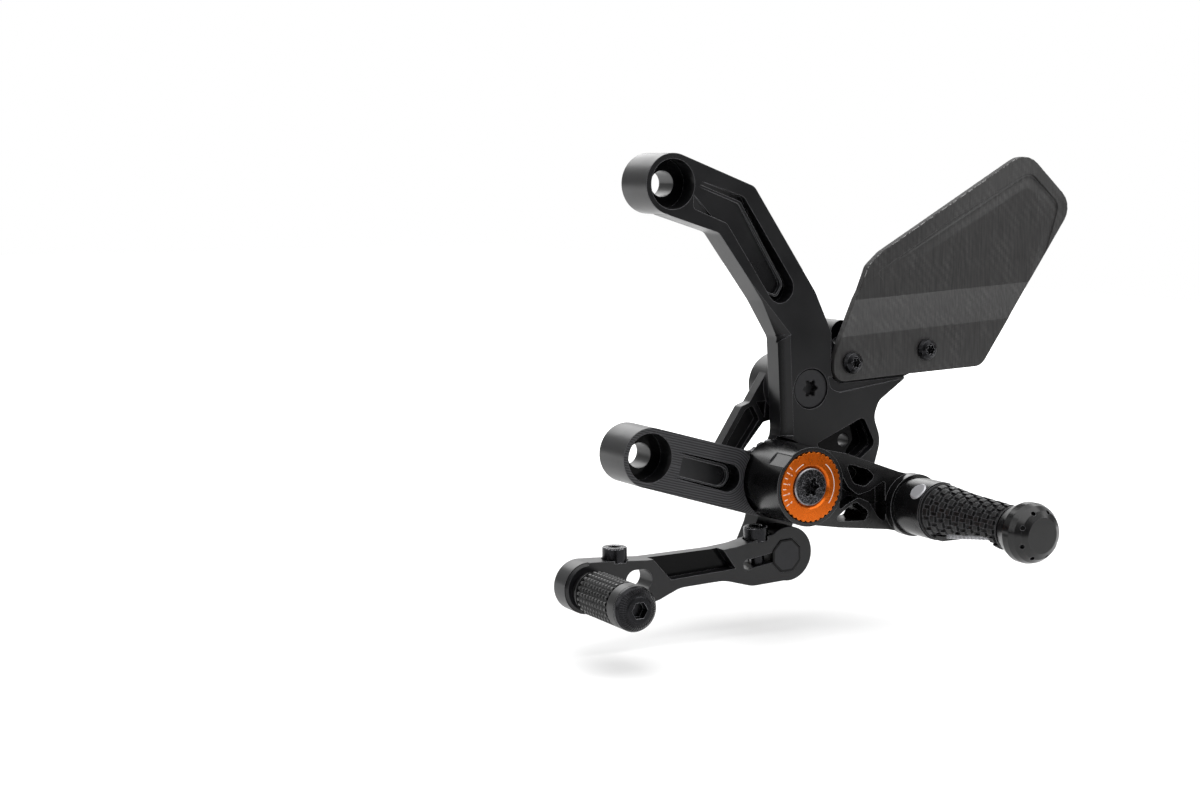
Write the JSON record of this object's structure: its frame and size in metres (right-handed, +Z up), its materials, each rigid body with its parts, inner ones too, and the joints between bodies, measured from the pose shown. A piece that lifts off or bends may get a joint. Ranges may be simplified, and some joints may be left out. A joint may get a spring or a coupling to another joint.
{
  "type": "rear sets footrest",
  "caption": "Gear-change side rear set: machined base plate with heel guard, folding footpeg on an indexing carrier, and a gear lever with a toe peg.",
  "frame": {"origin": "on the axis of the lower frame bolt, where the lower boss meets the motorcycle's frame", "axes": "+X to the rear of the motorcycle, +Y inboard towards the frame, +Z up"},
  "size_m": [0.2552, 0.1413, 0.1808],
  "materials": {
    "black_anodised": "black anodised over fine milling lines",
    "orange_anodised": "bright orange anodised",
    "dark_steel": "black oxide steel",
    "bright_steel": "turned bright steel",
    "carbon": "carbon fibre twill under satin resin",
    "bronze": "sintered bearing bronze"
  },
  "bodies": {
    "base": {"base_plate": "black_anodised", "rear_bracket": "black_anodised", "bracket_bolt": "dark_steel", "foot_screw": "dark_steel", "heel_guard": "carbon", "guard_screws": "dark_steel", "index_ring": "bright_steel", "hub_sleeve": "bright_steel", "adjuster_ring": "orange_anodised", "hub_bolt": "dark_steel", "hub_nut": "dark_steel", "shaft_bushes": "bronze"},
    "carrier": {"peg_carrier": "black_anodised"},
    "peg": {"peg_body": "black_anodised", "peg_grip": "black_anodised", "peg_strip": "bright_steel", "peg_cap": "black_anodised", "fold_pin": "bright_steel", "pin_clip": "dark_steel", "fold_spring": "bright_steel"},
    "lever": {"shift_lever": "black_anodised", "pinch_bolts": "dark_steel", "shift_shaft": "dark_steel", "toe_spindle": "dark_steel", "toe_screw": "dark_steel", "shift_crank": "black_anodised", "crank_screw": "dark_steel", "ball_stud": "bright_steel"},
    "toe_roller": {"toe_sleeve": "black_anodised", "toe_bushes": "bronze"},
    "rod_end": {"rod_end": "dark_steel"}
  },
  "joints": [
    {"name": "carrier_adjust", "type": "hinge", "parent": "base", "child": "carrier", "pos_m": [0.0616, -0.03, -0.0132], "axis": [0, 1, 0], "range_deg": [-30, 30]},
    {"name": "peg_fold", "type": "hinge", "parent": "carrier", "child": "peg", "pos_m": [0.1127, -0.058, -0.0245], "axis": [-0.7071, 0, 0.7071], "range_deg": [0, 75], "stiffness_Nm_per_rad": 0.4, "springref_deg": -34.38},
    {"name": "lever_pivot", "type": "hinge", "parent": "base", "child": "lever", "pos_m": [0.0645, 0, -0.0452], "axis": [0, 1, 0], "range_deg": [-10, 8]},
    {"name": "toe_spin", "type": "hinge", "parent": "lever", "child": "toe_roller", "pos_m": [-0.0289, -0.04, -0.0504], "axis": [0, 1, 0], "continuous": true},
    {"name": "rod_end_swing", "type": "hinge", "parent": "lever", "child": "rod_end", "pos_m": [0.072, 0.0121, -0.0145], "axis": [0, 1, 0], "range_deg": [-25, 25]}
  ]
}
